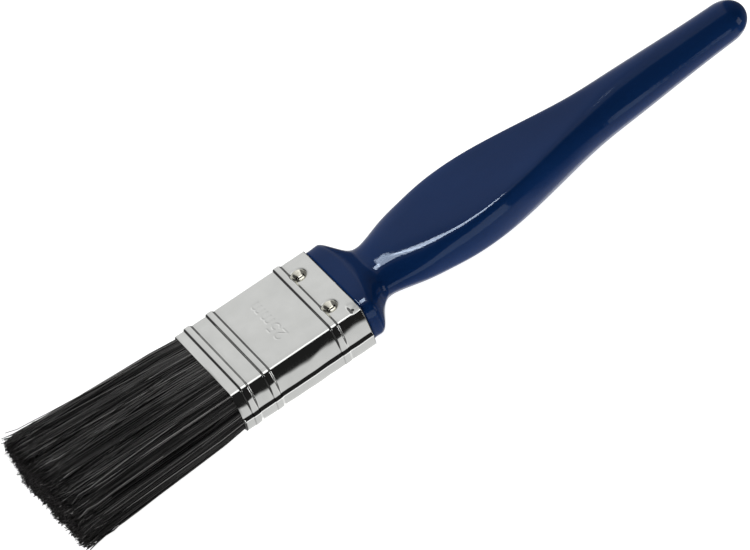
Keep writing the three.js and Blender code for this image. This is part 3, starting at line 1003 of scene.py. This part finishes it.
def make_studio():
    """The surroundings that mirror in the brush: a white tent that is open and dark on the
    camera's side, -Y, and darker beyond the bristles and beyond the handle. The camera sees plain
    white instead, and the tent doesn't light the matt part of surfaces."""
    world = bpy.data.worlds.new("studio")
    world.use_nodes = True
    tree = world.node_tree
    tree.nodes.clear()
    direction = node(tree, "TexCoord").outputs["Generated"]
    parts = node(tree, "SeparateXYZ", {"Vector": direction}).outputs
    angle = node(tree, "Math", {0: parts["Z"], 1: parts["Y"]}, operation="ARCTAN2").outputs[0]
    tent = levels(tree, ramp(tree, angle, -math.pi, math.pi, -180, 180), TENT_LEVELS, -180, 180)
    side = levels(tree, parts["X"], SIDE_LEVELS, -1, 1)
    light = node(tree, "Math", {0: tent, 1: side}, operation="MULTIPLY").outputs[0]
    seen = node(tree, "LightPath").outputs["Is Camera Ray"]
    strength = ramp(tree, seen, 0, 1, light, 1.0)
    background = node(tree, "Background", {"Strength": strength, "Color": (1, 1, 1, 1)})
    node(tree, "OutputWorld", {"Surface": background.outputs[0]})
    world.cycles_visibility.diffuse = False
    bpy.context.scene.world = world


def levels(tree, value, stops, low, high):
    """A number that follows (value, level) stops as value goes from low to high."""
    top = max(level for _, level in stops)
    curve = node(tree, "ValToRGB", {"Fac": ramp(tree, value, low, high, 0, 1)})
    elements = curve.color_ramp.elements
    while len(elements) < len(stops):
        elements.new(0.5)
    for element, (at, level) in zip(elements, stops):
        element.position = (at - low) / (high - low)
        element.color = (level / top, level / top, level / top, 1)
    scaled = node(tree, "Math", {0: curve.outputs["Color"], 1: top}, operation="MULTIPLY")
    return scaled.outputs[0]


def make_softbox(name, place, width, height, radiance, colour=(1, 1, 1), matt=False, only=()):
    """A softbox that faces the brush. It lights either the matt part of surfaces or their
    reflections, and if `only` is given, only on those pieces."""
    data = bpy.data.lights.new(name, "AREA")
    data.shape = "RECTANGLE"
    data.size, data.size_y = width, height
    data.energy = radiance * math.pi * width * height
    data.color = colour
    box = bpy.data.objects.new(name, data)
    bpy.context.scene.collection.objects.link(box)
    away = Vector(place).normalized()
    up = away.cross(Vector((1, 0, 0))).normalized()
    turn = Matrix((up.cross(away), up, away)).transposed().to_4x4()
    box.matrix_world = Matrix.Translation(Vector(place)) @ turn
    box.visible_diffuse = matt
    box.visible_glossy = not matt
    if only:
        lit = bpy.data.collections.new(name + "_lights")
        for lit_piece in only:
            lit.objects.link(lit_piece)
        box.light_linking.receiver_collection = lit


def make_camera():
    """The camera at the brush's viewing angle, rolled so that the brush lies corner to corner."""
    data = bpy.data.cameras.new("camera")
    data.lens = CAMERA_LENS
    data.sensor_width = CAMERA_SENSOR
    data.clip_start = 0.01
    camera = bpy.data.objects.new("camera", data)
    bpy.context.scene.collection.objects.link(camera)
    level = math.cos(CAMERA_ELEVATION)
    ahead, aside = math.cos(CAMERA_AZIMUTH), math.sin(CAMERA_AZIMUTH)
    back = Vector((aside * level, -ahead * level, math.sin(CAMERA_ELEVATION)))
    side = Vector((0, 0, 1)).cross(back).normalized()
    up = back.cross(side)
    right = math.cos(CAMERA_ROLL) * side + math.sin(CAMERA_ROLL) * up
    above = math.cos(CAMERA_ROLL) * up - math.sin(CAMERA_ROLL) * side
    turn = Matrix((right, above, back)).transposed().to_4x4()
    camera.matrix_world = Matrix.Translation(CAMERA_AIM + back * CAMERA_DISTANCE) @ turn
    bpy.context.scene.camera = camera


def paint_cad_node(name, material):
    """Gives a CAD node that is kept as it is its procedural material."""
    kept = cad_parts[name]
    kept.data.materials.clear()
    kept.data.materials.append(material)


ferrule = make_ferrule(plated_steel())
handle = make_handle(lacquer())
nail_material = nail_plating()
nails = [make_nail(nail, 1 if "front" in nail else -1, nail_material) for nail in NAILS]
bristle_material = bristle()
banks = [
    make_bank(1, "filament_bank_front", bristle_material),
    make_bank(-1, "filament_bank_back", bristle_material),
]
paint_cad_node("resin_setting", resin())
paint_cad_node("spacer_plug", bare_wood())
make_floor()
make_studio()
make_softbox("sky", *SKY, matt=True)
make_softbox("bristle_fill", *BRISTLE_FILL, matt=True, only=banks)
for name, softbox in HANDLE_SOFTBOXES.items():
    make_softbox(name, *softbox, colour=SOFTBOX_BLUE, only=[handle])
make_softbox("corner", *FERRULE_SOFTBOX, only=[ferrule, *nails])
for name, softbox in OTHER_SOFTBOXES.items():
    make_softbox(name, *softbox)
make_camera()
bpy.context.scene.view_settings.view_transform = "Standard"
